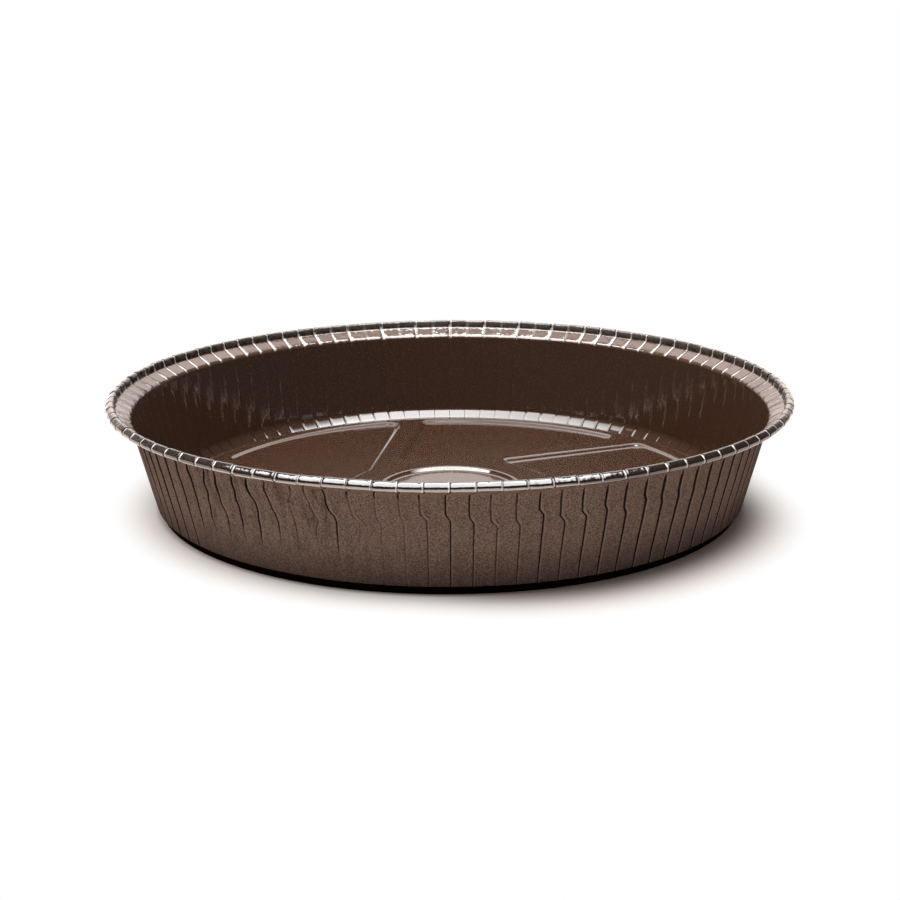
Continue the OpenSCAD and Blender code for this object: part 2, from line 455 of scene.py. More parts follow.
work_out(tree, look, (
    ("on rim", "LINEAR", "z", 29.3 * MM, 29.8 * MM),
    ("on wall", "LINEAR", "z", 4.5 * MM, 6.0 * MM),
    ("in cove", "LINEAR", "z", 4.6 * MM, 4.2 * MM),
    ("past base", "LINEAR", "radius", 85.6 * MM, 86.0 * MM),
    # Painted shade and painted highlight lines beside each crease stand apart as the mould turns from the
    # camera
    ("aside", "DIVIDE", "x", 60 * MM),
    ("aside", "MAXIMUM", "aside", -1.0),
    ("aside", "MINIMUM", "aside", 1.0),
    ("dark place", "MULTIPLY_ADD", "aside", 0.45 * MM, 0.05 * MM),
    ("pale place", "ABSOLUTE", "aside"),
    ("pale place", "MULTIPLY_ADD", "pale place", 0.3 * MM, -0.3 * MM),
))
look["painted shade line"] = near_crease(tree, look["dark place"], 1.0)
look["painted highlight line"] = near_crease(tree, look["pale place"], 1.4, 0.6)
work_out(tree, look, (
    ("far aside", "ABSOLUTE", "x"),
    ("far aside", "LINEAR", "far aside", 75 * MM, 92 * MM, 0.15, 0.6),
    # Painted shade: a dark line in the creases of the rim, the bead and the cove
    ("painted crease shade", "MULTIPLY", "far aside", "on rim"),
    ("painted crease shade", "MAXIMUM", "painted crease shade", "in cove"),
    ("painted crease shade", "MAXIMUM", "painted crease shade", "rolled"),
    ("painted crease shade", "MULTIPLY", "painted crease shade", "strength"),
    ("painted crease shade", "MULTIPLY", "painted crease shade", "painted shade line"),
    # Painted highlight: a pale line beside each crease of the rim
    ("painted highlight line", "MULTIPLY", "painted highlight line", "strength"),
    ("painted highlight line", "MULTIPLY", "painted highlight line", "on rim"),
    # The bead is paler in lumps at the sides and the back, and dark at the front
    ("pale lumps", "LINEAR", "lumps", 0.4, 0.55, 0.35, 1.0),
    ("pale lumps", "MULTIPLY", "pale lumps", "worn"),
    ("pale bead lumps", "MULTIPLY", "pale lumps", "rolled"),
    # Painted shade: a dark band in the gap between the flange and the bead where the bead is paler in lumps
    ("gap", "LINEAR", "radius", 101.9 * MM, 102.1 * MM),
    ("gap end", "LINEAR", "radius", 103.0 * MM, 102.6 * MM),
    ("gap", "MULTIPLY", "gap", "gap end"),
    ("gap", "MULTIPLY", "gap", "on rim"),
    ("gap", "MULTIPLY", "gap", "pale lumps"),
    # The coating is thin under the painted crease and gap shade, and towards the right of the cove
    ("cove right", "LINEAR", "x", 0.0, 60 * MM, 0.0, 0.6),
    ("cove right", "MULTIPLY", "cove right", "in cove"),
    ("cove right", "MULTIPLY", "cove right", "past base"),
    ("thin", "MAXIMUM", "painted crease shade", "gap"),
    ("thin", "MAXIMUM", "thin", "cove right"),
    ("coat", "LINEAR", "thin", 0.0, 1.0, 1.0, 0.1),
    # Heights in millimetres: a sag of the sunk centre, a faint ripple, crumples over the rim, and the streaks
    # that drawing leaves down the wall
    ("height", "MINIMUM", "radius", 20.5 * MM),
    ("height", "MULTIPLY", "height", 28.0),
    ("height", "MULTIPLY_ADD", "ripple", 0.008, "height"),
    ("crumple", "MULTIPLY", "crumple", "on rim"),
    ("height", "MULTIPLY_ADD", "crumple", 0.08, "height"),
    ("streaks", "MULTIPLY", "streaks", "on wall"),
    ("height", "MULTIPLY_ADD", "streaks", 0.06, "height"),
))
tone = add(tree, "ShaderNodeMix", {"Factor": look["fibre"], "A": linear("40291b"), "B": linear("4a3122")},
           data_type="RGBA")
# The pale line is painted highlight; the gap and crease colours are painted shade
for share, colour in (("on rim", "64493a"), ("rolled", "2c1c14"), ("pale bead lumps", "c4b7ae"), ("gap", "0c0806"),
                      ("painted highlight line", "e8dfda"), ("painted crease shade", "0c0806")):
    tone = add(tree, "ShaderNodeMix", {"Factor": look[share], "A": tone.outputs["Result"],
                                       "B": linear(colour)}, data_type="RGBA")
wave = add(tree, "ShaderNodeBump", {"Height": look["height"], "Strength": 1.0, "Distance": MM})
skin = add(tree, "ShaderNodeBsdfPrincipled", {
    "Base Color": tone.outputs["Result"], "Roughness": 0.5, "Specular IOR Level": 0.1,
    "Coat Weight": look["coat"], "Coat Roughness": 0.05, "Coat IOR": 2.0, "Coat Normal": wave.outputs[0]})
add(tree, "ShaderNodeOutputMaterial", {"Surface": skin.outputs[0]})

# Pleated wall and rolled rim
# The wall rises from the heel in pleats, bends out to a flange and ends in a rolled bead. Inside, a cove and
# a shallow groove lead down to the base. Each pleat is a crease with a raised lip beside it, which leans
# aside at its upper end and wavers on one side of the mould.
crease = 0.3 * MM
rim_crease = 0.3 * MM
beside_bead = 0.15 * MM
flange_crease = 0.38 * MM
inside_crease = 0.12 * MM
bead_centre = (103.62 * MM, 33.69 * MM)
bead_radius = 1.0 * MM
bead_flat = 0.42 * MM
bead_flat_faces = math.radians(50)
PAPER, COATED, HEEL = 0, 1, 2

section_rows = []


def stretch(points, finish, depth=(0, 0), sway=(0, 0), play=(0, 0)):
    """Adds rows to the wall's section, each with its crease depth, sway, play and finish."""
    for i, (r, z) in enumerate(points):
        f = i / max(1, len(points) - 1)
        blend = [a + (b - a) * f for a, b in (depth, sway, play)]
        section_rows.append((r, z, *blend, finish))


def straight(start, end, count):
    """Evenly spaced points from start up to but without the end, in millimetres."""
    return [tuple((a + (b - a) * i / count) * MM for a, b in zip(start, end)) for i in range(count)]


def bend(corner, before, after, radius, count):
    """Points of an arc that rounds a corner of the section, in millimetres."""
    def unit(a, b):
        length = math.hypot(b[0] - a[0], b[1] - a[1])
        return (b[0] - a[0]) / length, (b[1] - a[1]) / length
    u, v = unit(corner, before), unit(corner, after)
    half = math.acos(u[0] * v[0] + u[1] * v[1]) / 2
    cut = radius / math.tan(half)
    mid = unit((0, 0), (u[0] + v[0], u[1] + v[1]))
    centre = [c + m * radius / math.sin(half) for c, m in zip(corner, mid)]
    first = math.atan2(corner[1] + u[1] * cut - centre[1], corner[0] + u[0] * cut - centre[0])
    last = math.atan2(corner[1] + v[1] * cut - centre[1], corner[0] + v[0] * cut - centre[0])
    swing = (last - first + math.pi) % (2 * math.pi) - math.pi
    return [(x * MM, y * MM) for x, y in arc(centre, radius, first, first + swing, count)]


underside_edge = (strip_edge_below / MM, (base_level - sheet) / MM)
ledge = (91.31, 2.7)
under_corner = (98.09, 29.8)
under_bead = (103.25, 32.48)
bead_crease = (102.4, 32.6)
corner = (97.7, 30.1)
wall_foot = (91.17, 4.0)
cove_foot = (88.37, 1.2)
groove_foot = (87.5, 1.2)
groove_crest = (86.0, 2.1)
strip_end = (strip_edge / MM, base_level / MM)

stretch(straight(underside_edge, (85.87, 1.65), 1), PAPER)
stretch(straight((85.87, 1.65), (87.37, 0.75), 1), PAPER)
stretch(straight((87.37, 0.75), (88.6, 0.75), 1), PAPER)
stretch([(88.6 * MM, 0.6 * MM), (88.6 * MM, 0.15 * MM), (88.75 * MM, 0), (89.65 * MM, 0)], HEEL)
stretch(straight((89.8, 0.15), (90.8, 2.45), 1), HEEL)
stretch([(90.85 * MM, 2.45 * MM), (91.2 * MM, 2.55 * MM)], HEEL)
stretch(straight(ledge, (91.75, 4.4), 1), PAPER)
stretch(straight((91.75, 4.4), (92.4, 7.0), 3), PAPER, depth=(0, crease), sway=(0, 0.3))
stretch(straight((92.4, 7.0), (95.65, 20.0), 7), PAPER, depth=(crease, crease), sway=(0.3, 0.7))
stretch(straight((95.65, 20.0), (97.4, 27.0), 9), PAPER, depth=(crease, crease), sway=(0.75, 1))
stretch(straight((97.4, 27.0), (97.95, 29.2), 2), PAPER, depth=(crease, rim_crease), sway=(1, 1))
stretch(bend(under_corner, (97.4, 27.0), under_bead, 0.8, 3), PAPER, depth=(rim_crease, 0.05 * MM),
        sway=(1, 1))
stretch(straight((99.5, 30.53), under_bead, 2), PAPER, sway=(0.5, 0))
bead = []
for r, z in arc((0, 0), bead_radius, math.radians(-110), math.radians(195), 17):
    end = math.copysign(bead_flat, math.sin(bead_flat_faces - math.atan2(z, r)))
    bead.append((bead_centre[0] + r + end * math.sin(bead_flat_faces),
                 bead_centre[1] + z - end * math.cos(bead_flat_faces)))
stretch(bead, COATED, depth=(rim_crease, rim_crease), play=(1, 1))
stretch([(102.3 * MM, 32.9 * MM), (102.1 * MM, 32.48 * MM)], COATED, depth=(beside_bead, beside_bead),
        play=(0.5, 0.5))
stretch(straight((101.8, 32.28), (98.7, 30.63), 3), COATED, depth=(beside_bead, 0.35 * MM), play=(0.5, 0.3))
stretch(bend(corner, bead_crease, wall_foot, 2.0, 6), COATED, depth=(flange_crease, flange_crease),
        play=(0.3, 0.1))
stretch([(97.2 * MM, 28.1 * MM), (96.38 * MM, 24.8 * MM), (92.3 * MM, 8.4 * MM)], COATED,
        depth=(inside_crease, inside_crease))
stretch([(91.4 * MM, 4.9 * MM), (91.23 * MM, 4.2 * MM)], COATED, depth=(inside_crease, inside_crease))
stretch(straight(wall_foot, (90.3, 3.0), 1), COATED, depth=(inside_crease, inside_crease))
stretch(straight((90.3, 3.0), (88.6, 1.42), 2), COATED, depth=(inside_crease, inside_crease))
stretch(bend(cove_foot, wall_foot, groove_foot, 0.3, 3), COATED, depth=(0.1 * MM, 0))
stretch(bend(groove_foot, cove_foot, groove_crest, 0.3, 3), COATED)
stretch(bend(groove_crest, groove_foot, strip_end, 0.8, 4), COATED)
stretch([tuple(v * MM for v in strip_end)], COATED)


def section_object():
    """The section as a line of points that carry what a crease does to each."""
    mesh = bpy.data.meshes.new("section")
    points = [(row[0], row[1]) for row in section_rows]
    mesh.from_pydata([(r, 0, z) for r, z in points], [(i, i + 1) for i in range(len(points) - 1)], [])
    pulls = []
    for i, row in enumerate(section_rows):
        (r0, z0), (r1, z1) = points[max(0, i - 1)], points[min(len(points) - 1, i + 1)]
        run = math.hypot(r1 - r0, z1 - z0)
        pulls += [-(z1 - z0) / run * row[2], 0, (r1 - r0) / run * row[2]]
    mesh.attributes.new("pull", "FLOAT_VECTOR", "POINT").data.foreach_set("vector", pulls)
    mesh.attributes.new("sway", "FLOAT", "POINT").data.foreach_set("value", [row[3] for row in section_rows])
    mesh.attributes.new("play", "FLOAT", "POINT").data.foreach_set("value", [row[4] for row in section_rows])
    mesh.attributes.new("finish", "INT", "POINT").data.foreach_set("value", [row[5] for row in section_rows])
    return bpy.data.objects.new("section", mesh)


# Brown baking paper as it leaves the press: satin, with a fine speckled grain, painted shade in its folds,
# streaks and lowest part, and painted highlights beside the folds
paper = bpy.data.materials.new("brown_baking_paper")
tree = shader_tree(paper)
place = add(tree, "ShaderNodeTexCoord").outputs["Object"]
place_xyz = add(tree, "ShaderNodeSeparateXYZ", {0: place}).outputs
grain = add(tree, "ShaderNodeTexNoise", {"Vector": place, "Scale": 2600.0, "Detail": 2.0, "Roughness": 0.6})
cloud = add(tree, "ShaderNodeTexNoise", {"Vector": place, "Scale": 90.0, "Detail": 3.0})
look = {"z": place_xyz["Z"], "grain": grain.outputs["Fac"], "cloud": cloud.outputs["Fac"]}
for name in ("strength", "hook", "crumple"):
    look[name] = add(tree, "ShaderNodeAttribute", attribute_name=name).outputs["Fac"]
# Painted shade in streaks down the wall: soft ones all over, and sharp ones where the paper is crumpled
for name, fineness in (("soft", (420, 420, 45)), ("sharp", (330, 330, 70))):
    spot = add(tree, "ShaderNodeVectorMath", {0: place, 1: fineness}, operation="MULTIPLY")
    look[name] = add(tree, "ShaderNodeTexNoise", {"Vector": spot.outputs[0], "Scale": 1.0, "Detail": 1.5,
                                                  "Distortion": 0.4}).outputs["Fac"]
# Each fold gets a dark line of painted shade with a light edge of painted highlight, and beside it at the
# bend a painted hook of light and dark
for name, offset, reach, solid in (("light edge", 0.42, 1.4, 0.2), ("hook edge", 0.75, 1.8, 0.2),
                                   ("hook line", 1.4, 1.2, 0.4), ("fold line", 0, 1.3, 0.6)):
    look[name] = near_crease(tree, offset * MM, reach, solid)
work_out(tree, look, (
    ("speckle", "LINEAR", "grain", 0.36, 0.64),
    ("cloud", "MULTIPLY", "cloud", 0.4),
    ("soft", "LINEAR", "soft", 0.45, 0.65, 0.0, 0.3),
    ("more", "MULTIPLY_ADD", "crumple", 0.9, 0.35),
    ("soft", "MULTIPLY", "soft", "more"),
    ("sharp", "SUBTRACT", "sharp", 0.5),
    ("sharp", "ABSOLUTE", "sharp"),
    ("sharp", "LINEAR", "sharp", 0.02, 0.0, 0.0, 0.6),
    ("sharp", "MULTIPLY", "sharp", "crumple"),
    # Painted shade: the lowest part of the wall is darker towards the heel
    ("low", "LINEAR", "z", 14 * MM, 3 * MM, 0.0, 0.5),
    ("dark", "LINEAR", "strength", 0.15, 0.6, 0.0, 0.94),
    ("fold line", "MULTIPLY", "fold line", "dark"),
    ("light edge", "MULTIPLY", "light edge", "strength"),
    ("light edge", "MULTIPLY", "light edge", 0.4),
    ("hook edge", "MULTIPLY", "hook edge", "hook"),
    ("hook edge", "MULTIPLY", "hook edge", 0.5),
    ("hook line", "MULTIPLY", "hook line", "hook"),
    ("hook line", "MULTIPLY", "hook line", 0.9),
))
tone = add(tree, "ShaderNodeMix", {"Factor": look["speckle"], "A": linear("5b4f49"), "B": linear("a79287")},
           data_type="RGBA")
# The streaks, the lowest part, the fold lines and the hook's dark line are painted shade; the light edges of
# the folds and the hook are painted highlight
for share, colour in (("cloud", "857469"), ("soft", "40362f"), ("low", "372d28"), ("light edge", "b8a89c"),
                      ("hook edge", "b8a89c"), ("hook line", "1c130e"), ("sharp", "2a1e17"),
                      ("fold line", "0c0806")):
    tone = add(tree, "ShaderNodeMix", {"Factor": look[share], "A": tone.outputs["Result"],
                                       "B": linear(colour)}, data_type="RGBA")
relief = add(tree, "ShaderNodeBump", {"Height": look["grain"], "Strength": 0.15, "Distance": 0.1 * MM})
skin = add(tree, "ShaderNodeBsdfPrincipled", {"Roughness": 0.55, "Specular IOR Level": 0.0,
                                              "Base Color": tone.outputs["Result"],
                                              "Normal": relief.outputs[0]})
add(tree, "ShaderNodeOutputMaterial", {"Surface": skin.outputs[0]})

# The same paper on the heel, painted nearly black: painted shade for the dark band where the mould meets the
# floor
heel = bpy.data.materials.new("heel_paper_painted_shade")
tree = shader_tree(heel)
place = add(tree, "ShaderNodeTexCoord")
grain = add(tree, "ShaderNodeTexNoise", {"Vector": place.outputs["Object"], "Scale": 900.0})
tone = add(tree, "ShaderNodeMix", {"Factor": grain.outputs["Fac"], "A": linear("130805"),
                                   "B": linear("1d0f0a")}, data_type="RGBA")
skin = add(tree, "ShaderNodeBsdfPrincipled", {"Roughness": 0.6, "Specular IOR Level": 0.0,
                                              "Base Color": tone.outputs["Result"]})
add(tree, "ShaderNodeOutputMaterial", {"Surface": skin.outputs[0]})

tree, given = node_group("Pleated wall", {
    "Section": "Object", "Base": "Object", "Underside": "Object", "Rows": "Int", "Pleats": "Int",
    "Stations": "Int", "Crowding": "Float", "Fold width": "Float", "Lip": "Float", "Lean": "Float",
    "Lean from": "Float", "Lean to": "Float", "Waver": "Float", "Dent": "Float", "Crumple": "Float",
    "Wrinkles": "Float", "Play": "Float", "Seed": "Int"})
field = {name: given.outputs[name] for name in given.outputs.keys() if name}
section = add(tree, "GeometryNodeObjectInfo", {"Object": field["Section"]})
work_out(tree, field, (("lines", "MULTIPLY_ADD", "Pleats", "Stations", 1),))
grid = add(tree, "GeometryNodeMeshGrid", {"Size X": 1.0, "Size Y": 1.0, "Vertices X": field["lines"],
                                          "Vertices Y": field["Rows"]})
place = add(tree, "GeometryNodeInputPosition")
place_xyz = add(tree, "ShaderNodeSeparateXYZ", {0: place.outputs[0]})
field["across"], field["along"] = place_xyz.outputs["X"], place_xyz.outputs["Y"]

work_out(tree, field, (
    ("row", "ADD", "along", 0.5),
    ("row gaps", "SUBTRACT", "Rows", 1),
    ("row", "MULTIPLY", "row", "row gaps"),
    ("row here", "ROUND", "row"),
    ("row below", "FLOOR", "row"),
    ("column", "ADD", "across", 0.5),
    ("column", "MULTIPLY", "column", "Pleats"),
    ("nearest", "ADD", "column", 0.5),
    ("nearest", "FLOOR", "nearest"),
    ("share", "SUBTRACT", "column", "nearest"),
    ("size", "ABSOLUTE", "share"),
    ("size", "MULTIPLY", "size", 2),
    ("size", "POWER", "size", "Crowding"),
    ("step", "SIGN", "share"),
    ("step", "MULTIPLY", "step", "size"),
    ("step", "MULTIPLY", "step", 0.5),
    ("turn", "ADD", "nearest", "step"),
    ("turn", "DIVIDE", "turn", "Pleats"),
    ("pleat", "FLOORED_MODULO", "nearest", "Pleats"),
    ("panel", "FLOOR", "column"),
    ("panel", "FLOORED_MODULO", "panel", "Pleats"),
))
sampled = {}
for name, kind in (("pull", "FLOAT_VECTOR"), ("sway", "FLOAT"), ("play", "FLOAT"), ("finish", "INT")):
    stored = add(tree, "GeometryNodeInputNamedAttribute", {"Name": name}, data_type=kind)
    sampled[name] = add(tree, "GeometryNodeSampleIndex", {
        "Geometry": section.outputs["Geometry"], "Value": stored.outputs[0],
        "Index": field["row below" if name == "finish" else "row here"]}, data_type=kind)
here = add(tree, "GeometryNodeInputPosition")
sampled["place"] = add(tree, "GeometryNodeSampleIndex", {
    "Geometry": section.outputs["Geometry"], "Value": here.outputs[0], "Index": field["row here"]},
    data_type="FLOAT_VECTOR")
section_xyz = add(tree, "ShaderNodeSeparateXYZ", {0: sampled["place"].outputs[0]})
pull_xyz = add(tree, "ShaderNodeSeparateXYZ", {0: sampled["pull"].outputs[0]})
field["r"], field["z"] = section_xyz.outputs["X"], section_xyz.outputs["Z"]
field["pull r"], field["pull z"] = pull_xyz.outputs["X"], pull_xyz.outputs["Z"]
field["sway"], field["play"] = sampled["sway"].outputs[0], sampled["play"].outputs[0]

# Strength of each effect round the wall, from the front anticlockwise: (share of the turn, value)
for name, curve_points in (
    ("crispness", ((0, 0.65), (0.04, 0.8), (0.09, 1), (0.15, 1), (0.8, 1), (0.9, 1), (0.922, 0.85),
                   (0.934, 0.35), (0.947, 0.9), (0.957, 0.45), (0.975, 0.4), (1, 0.65))),
    ("leaning", ((0, 1), (0.09, 0.8), (0.13, 0.15), (0.5, 0.3), (0.86, 0.2), (0.93, 0.7), (1, 1))),
    ("breadth", ((0, 0.19), (0.05, 0.25), (0.1, 0.41), (0.15, 0.5), (0.25, 0.6), (0.4, 0.38), (0.6, 0.38),
                 (0.75, 1), (0.82, 0.9), (0.86, 0.5), (0.92, 0.31), (0.96, 0.22), (1, 0.19))),
    ("rim breadth", ((0, 0.3), (0.15, 0.35), (0.22, 0.6), (0.25, 0.8), (0.28, 0.6), (0.35, 0.35),
                     (0.45, 0.65), (0.55, 0.65), (0.65, 0.35), (0.72, 0.7), (0.75, 0.9), (0.79, 0.6),
                     (0.86, 0.35), (1, 0.3))),
    ("pairing", ((0, 0), (0.4, 0), (0.45, 1), (0.55, 1), (0.6, 0), (1, 0))),
    ("wavering", ((0, 0.05), (0.1, 0.1), (0.45, 0.3), (0.75, 0.15), (0.845, 0.15), (0.87, 0.8), (0.89, 1),
                  (0.94, 0.9), (0.965, 0.3), (1, 0.05))),
    ("worn", ((0, 0), (0.15, 0), (0.19, 0.5), (0.25, 0.9), (0.35, 0.8), (0.6, 0.8), (0.75, 1), (0.81, 0.6),
              (0.86, 0.1), (0.94, 0), (1, 0))),
):
    curve = add(tree, "ShaderNodeFloatCurve", {"Value": field["turn"]})
    points = curve.mapping.curves[0].points
    points[0].location, points[-1].location = curve_points[0], curve_points[-1]
    for spot in curve_points[1:-1]:
        points.new(*spot)
    curve.mapping.update()
    field[name] = curve.outputs[0]

for name, which, offset in (("chance", "pleat", 0), ("lean chance", "pleat", 1), ("panel r", "panel", 2),
                            ("panel z", "panel", 3)):
    seed = add(tree, "ShaderNodeMath", {0: field["Seed"], 1: offset}, operation="ADD")
    draw = add(tree, "FunctionNodeRandomValue", {"Min": 0.0, "Max": 1.0, "ID": field[which],
                                                 "Seed": seed.outputs[0]}, data_type="FLOAT")
    field[name] = draw.outputs["Value"]

work_out(tree, field, (
    ("wave x", "MULTIPLY", "pleat", 3.7),
    ("wave z", "MULTIPLY", "z", 120),
    ("strength z", "MULTIPLY", "z", 60),
    ("strength y", "ADD", "Seed", 50),
))
for name, y, z in (("wave", "Seed", "wave z"), ("patch", "strength y", "strength z")):
    spot = add(tree, "ShaderNodeCombineXYZ", {"X": field["wave x"], "Y": field[y], "Z": field[z]})
    noise = add(tree, "ShaderNodeTexNoise", {"Vector": spot.outputs[0], "Scale": 1.0, "Detail": 1.0})
    field[name] = noise.outputs["Fac"]

pi = math.pi
work_out(tree, field, (
    # Distance from the crease line and the shape of the crease across it
    ("pitch", "DIVIDE", 2 * pi, "Pleats"),
    ("side", "MULTIPLY", "step", "pitch"),
    ("side", "MULTIPLY", "side", "r"),
    ("rim", "SUBTRACT", "z", 28.5 * MM),
    ("rim", "DIVIDE", "rim", MM),
    ("rim", "MAXIMUM", "rim", 0),
    ("rim", "MINIMUM", "rim", 1),
    ("off rim", "SUBTRACT", 1, "rim"),
    ("taper", "MULTIPLY_ADD", "z", 28, 0.55),
    ("width", "MULTIPLY", "breadth", 4),
    ("width", "MULTIPLY", "width", "taper"),
    ("width", "MULTIPLY", "width", "off rim"),
    ("rim width", "MULTIPLY", "rim breadth", 3.2),
    ("width", "MULTIPLY_ADD", "rim width", "rim", "width"),
    ("width", "MULTIPLY", "width", "Fold width"),
    ("side", "DIVIDE", "side", "width"),
    ("fold", "POWER", "side", 2),
    ("fold", "MULTIPLY", "fold", -1),
    ("fold", "EXPONENT", "fold"),
    ("lip", "MULTIPLY_ADD", "rim", 4.0, "side"),
    ("lip", "SUBTRACT", "lip", 2.0),
    ("lip", "DIVIDE", "lip", 1.4),
    ("lip", "POWER", "lip", 2),
    ("lip", "MULTIPLY", "lip", -1),
    ("lip", "EXPONENT", "lip"),
    # How strong this pleat is here
    ("patch", "MULTIPLY_ADD", "patch", 2.4, -0.25),
    ("patch", "MULTIPLY", "patch", "wavering"),
    ("steady", "SUBTRACT", 1, "wavering"),
    ("patch", "ADD", "patch", "steady"),
    ("patch", "MINIMUM", "patch", 1),
    ("patch", "MAXIMUM", "patch", 0),
    ("patch", "SUBTRACT", "patch", 1),
    ("patch", "MULTIPLY_ADD", "patch", "sway", 1),
    ("rim crispness", "MULTIPLY", "rim", 0.9),
    ("crispness", "MAXIMUM", "crispness", "rim crispness"),
    ("strength", "MULTIPLY_ADD", "chance", 0.5, 0.6),
    ("strength", "MULTIPLY", "strength", "crispness"),
    ("strength", "MULTIPLY", "strength", "patch"),
    ("low", "SUBTRACT", 17 * MM, "z"),
    ("low", "DIVIDE", "low", 9 * MM),
    ("low", "MAXIMUM", "low", 0),
    ("low", "MINIMUM", "low", 1),
    ("low", "MULTIPLY", "low", "wavering"),
    ("low", "SUBTRACT", 1, "low"),
    ("strength", "MULTIPLY", "strength", "low"),
    ("odd", "MODULO", "pleat", 2),
    ("odd", "MULTIPLY", "odd", "pairing"),
    ("odd", "MULTIPLY", "odd", "rim"),
    ("odd", "MULTIPLY_ADD", "odd", -0.75, 1),
    ("strength", "MULTIPLY", "strength", "odd"),
    ("strength", "MINIMUM", "strength", 1),
    # Sideways shift of the crease line
    ("bend z", "SUBTRACT", "chance", 0.5),
    ("bend z", "MULTIPLY_ADD", "bend z", 3 * MM, "Lean from"),
    ("top", "SUBTRACT", "z", "bend z"),
    ("rise", "SUBTRACT", "Lean to", "Lean from"),
    ("top", "DIVIDE", "top", "rise"),
    ("top", "MAXIMUM", "top", 0),
    ("top", "MINIMUM", "top", 1),
    ("turnover", "MULTIPLY_ADD", "top", -2, 3),
    ("top", "MULTIPLY", "top", "top"),
    ("top", "MULTIPLY", "top", "turnover"),
    ("lean", "MULTIPLY_ADD", "lean chance", 0.6, 0.6),
    ("lean", "MULTIPLY", "lean", "leaning"),
    ("lean", "MULTIPLY", "lean", "top"),
    ("lean", "MULTIPLY", "lean", "Lean"),
    ("waver", "SUBTRACT", "wave", 0.5),
    ("waver", "MULTIPLY", "waver", "wavering"),
    ("waver", "MULTIPLY", "waver", "Waver"),
    ("waver", "MULTIPLY", "waver", 4),
    ("shift", "SUBTRACT", "waver", "lean"),
    ("shift", "MULTIPLY", "shift", "sway"),
    ("line shift", "ADD", "shift", 0),
    ("reach", "ABSOLUTE", "step"),
    ("nearness", "MULTIPLY_ADD", "reach", -2, 1),
    ("shift", "MULTIPLY", "shift", "nearness"),
    ("shift", "DIVIDE", "shift", "r"),
    ("angle", "MULTIPLY", "turn", 2 * pi),
    ("angle", "SUBTRACT", "angle", pi / 2),
    ("angle", "ADD", "angle", "shift"),
    # Small dent at the bend of the crease line
    ("dent z", "MULTIPLY_ADD", "rise", 0.7, "bend z"),
    ("dent z", "SUBTRACT", "z", "dent z"),
    ("dent z", "DIVIDE", "dent z", 1.4 * MM),
    ("dent z", "POWER", "dent z", 2),
    ("dent x", "SUBTRACT", "side", 3.0),
    ("dent x", "DIVIDE", "dent x", 2.0),
    ("dent x", "POWER", "dent x", 2),
    ("dent", "ADD", "dent x", "dent z"),
    ("dent", "MULTIPLY", "dent", -1),
    ("dent", "EXPONENT", "dent"),
    ("dent", "MULTIPLY", "dent", "leaning"),
    ("dent", "MULTIPLY", "dent", "sway"),
    ("dent", "MULTIPLY", "dent", "Dent"),
    # Flat panels between the creases
    ("half", "DIVIDE", pi, "Pleats"),
    ("middle", "SUBTRACT", 0.5, "reach"),
    ("middle", "MULTIPLY", "middle", "pitch"),
    ("flat", "COSINE", "middle"),
    ("half", "COSINE", "half"),
    ("flat", "DIVIDE", "half", "flat"),
    # Radius and height of the point
    ("draw", "MULTIPLY", "lip", "Lip"),
    ("draw", "SUBTRACT", "fold", "draw"),
    ("draw", "MULTIPLY", "draw", "strength"),
    ("plain", "SUBTRACT", 1, "fold"),
    ("plain", "MULTIPLY", "plain", "play"),
    ("plain", "MULTIPLY", "plain", "Play"),
    ("panel r", "SUBTRACT", "panel r", 0.5),
    ("panel z", "SUBTRACT", "panel z", 0.5),
    ("r", "MULTIPLY", "r", "flat"),
    ("r", "MULTIPLY_ADD", "pull r", "draw", "r"),
    ("r", "MULTIPLY_ADD", "panel r", "plain", "r"),
    ("r", "ADD", "r", "dent"),
    ("z", "MULTIPLY_ADD", "pull z", "draw", "z"),
    ("z", "MULTIPLY_ADD", "panel z", "plain", "z"),
    ("cos", "COSINE", "angle"),
    ("sin", "SINE", "angle"),
    ("x", "MULTIPLY", "r", "cos"),
    ("y", "MULTIPLY", "r", "sin"),
    ("hook", "MULTIPLY", "leaning", "sway"),
    ("hook", "MULTIPLY", "hook", "lean chance"),
    ("at bend", "MULTIPLY", "dent z", -1.5),
    ("at bend", "EXPONENT", "at bend"),
    ("hook", "MULTIPLY", "hook", "at bend"),
    ("crumple", "MULTIPLY", "wavering", "sway"),
    ("rolled", "SUBTRACT", "play", 0.6),
    ("rolled", "MULTIPLY", "rolled", 3),
    ("rolled", "MINIMUM", "rolled", 1),
    ("rolled", "MAXIMUM", "rolled", 0),
))

# Crumpled paper: soft dents in the wall where the pleats waver, and finer ones in the bead
for name, fineness in (("dents", (300, 300, 130)), ("wrinkles", (600, 600, 600))):
    spot = add(tree, "ShaderNodeCombineXYZ", {"X": field["x"], "Y": field["y"], "Z": field["z"]})
    spot = add(tree, "ShaderNodeVectorMath", {0: spot.outputs[0], 1: fineness}, operation="MULTIPLY")
    noise = add(tree, "ShaderNodeTexNoise", {"Vector": spot.outputs[0], "Scale": 1.0, "Detail": 1.0})
    field[name] = noise.outputs["Fac"]
work_out(tree, field, (
    ("dents", "SUBTRACT", "dents", 0.5),
    ("dents", "MULTIPLY", "dents", "wavering"),
    ("dents", "MULTIPLY", "dents", "sway"),
    ("dents", "MULTIPLY", "dents", "Crumple"),
    ("wrinkles", "SUBTRACT", "wrinkles", 0.5),
    ("wrinkles", "MULTIPLY", "wrinkles", "play"),
    ("wrinkles", "MULTIPLY", "wrinkles", "Wrinkles"),
    ("r", "ADD", "r", "dents"),
    ("r", "ADD", "r", "wrinkles"),
    ("z", "ADD", "z", "wrinkles"),
    ("x", "MULTIPLY", "r", "cos"),
    ("y", "MULTIPLY", "r", "sin"),
))
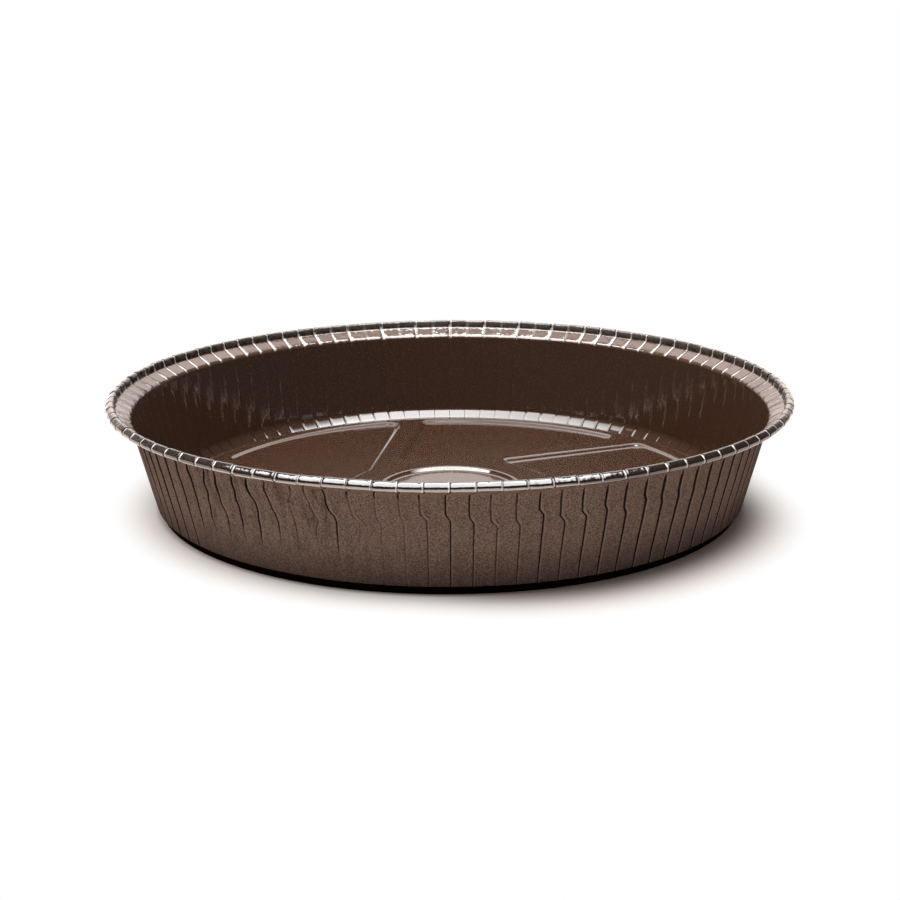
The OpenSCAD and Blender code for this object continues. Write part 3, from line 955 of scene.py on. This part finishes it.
spot = add(tree, "ShaderNodeCombineXYZ", {"X": field["x"], "Y": field["y"], "Z": field["z"]})
marked = add(tree, "GeometryNodeStoreNamedAttribute", {
    "Geometry": grid.outputs["Mesh"], "Name": "finish", "Value": sampled["finish"].outputs[0]},
    data_type="INT", domain="FACE")
for mark, source in (("shift", "line shift"), ("width", "width"), ("strength", "strength"), ("hook", "hook"),
                     ("crumple", "crumple"), ("rolled", "rolled"), ("worn", "worn")):
    marked = add(tree, "GeometryNodeStoreNamedAttribute", {
        "Geometry": marked.outputs[0], "Name": mark, "Value": field[source]},
        data_type="FLOAT", domain="POINT")
wall = add(tree, "GeometryNodeSetPosition", {"Geometry": marked.outputs[0], "Position": spot.outputs[0]})

base_info = add(tree, "GeometryNodeObjectInfo", {"Object": field["Base"]})
underside_info = add(tree, "GeometryNodeObjectInfo", {"Object": field["Underside"]})
base_marked = add(tree, "GeometryNodeStoreNamedAttribute", {
    "Geometry": base_info.outputs["Geometry"], "Name": "finish", "Value": COATED},
    data_type="INT", domain="FACE")
whole = add(tree, "GeometryNodeJoinGeometry", {0: wall.outputs[0]})
tree.links.new(base_marked.outputs[0], whole.inputs[0])
tree.links.new(underside_info.outputs["Geometry"], whole.inputs[0])
whole = add(tree, "GeometryNodeMergeByDistance", {"Geometry": whole.outputs[0], "Distance": 0.02 * MM})
whole = add(tree, "GeometryNodeSetShadeSmooth", {"Geometry": whole.outputs[0], "Shade Smooth": True})
whole = add(tree, "GeometryNodeRealizeInstances", {"Geometry": whole.outputs[0]})
stored = add(tree, "GeometryNodeInputNamedAttribute", {"Name": "finish"}, data_type="INT")
for number, material in ((PAPER, paper), (COATED, coated), (HEEL, heel)):
    chosen = add(tree, "FunctionNodeCompare", {2: stored.outputs[0], 3: number}, data_type="INT",
                 operation="EQUAL")
    whole = add(tree, "GeometryNodeSetMaterial", {
        "Geometry": whole.outputs[0], "Selection": chosen.outputs[0], "Material": material})
add(tree, "NodeGroupOutput", {0: whole.outputs[0]})

mold = made_by(tree, "pleated_mold", {
    "Section": section_object(), "Base": base_parts["top"], "Underside": base_parts["underside"],
    "Rows": len(section_rows), "Pleats": pleats, "Stations": stations,
    "Crowding": crowding, "Fold width": 0.22 * MM, "Lip": 0.3,
    "Lean": 1.7 * MM, "Lean from": 21.4 * MM, "Lean to": 23.6 * MM, "Waver": 1.8 * MM, "Dent": 0.2 * MM,
    "Crumple": 0.8 * MM, "Wrinkles": 0.25 * MM, "Play": 0.2 * MM, "Seed": 7})
scene.collection.objects.link(mold)
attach(mold, "root")
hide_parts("mold")
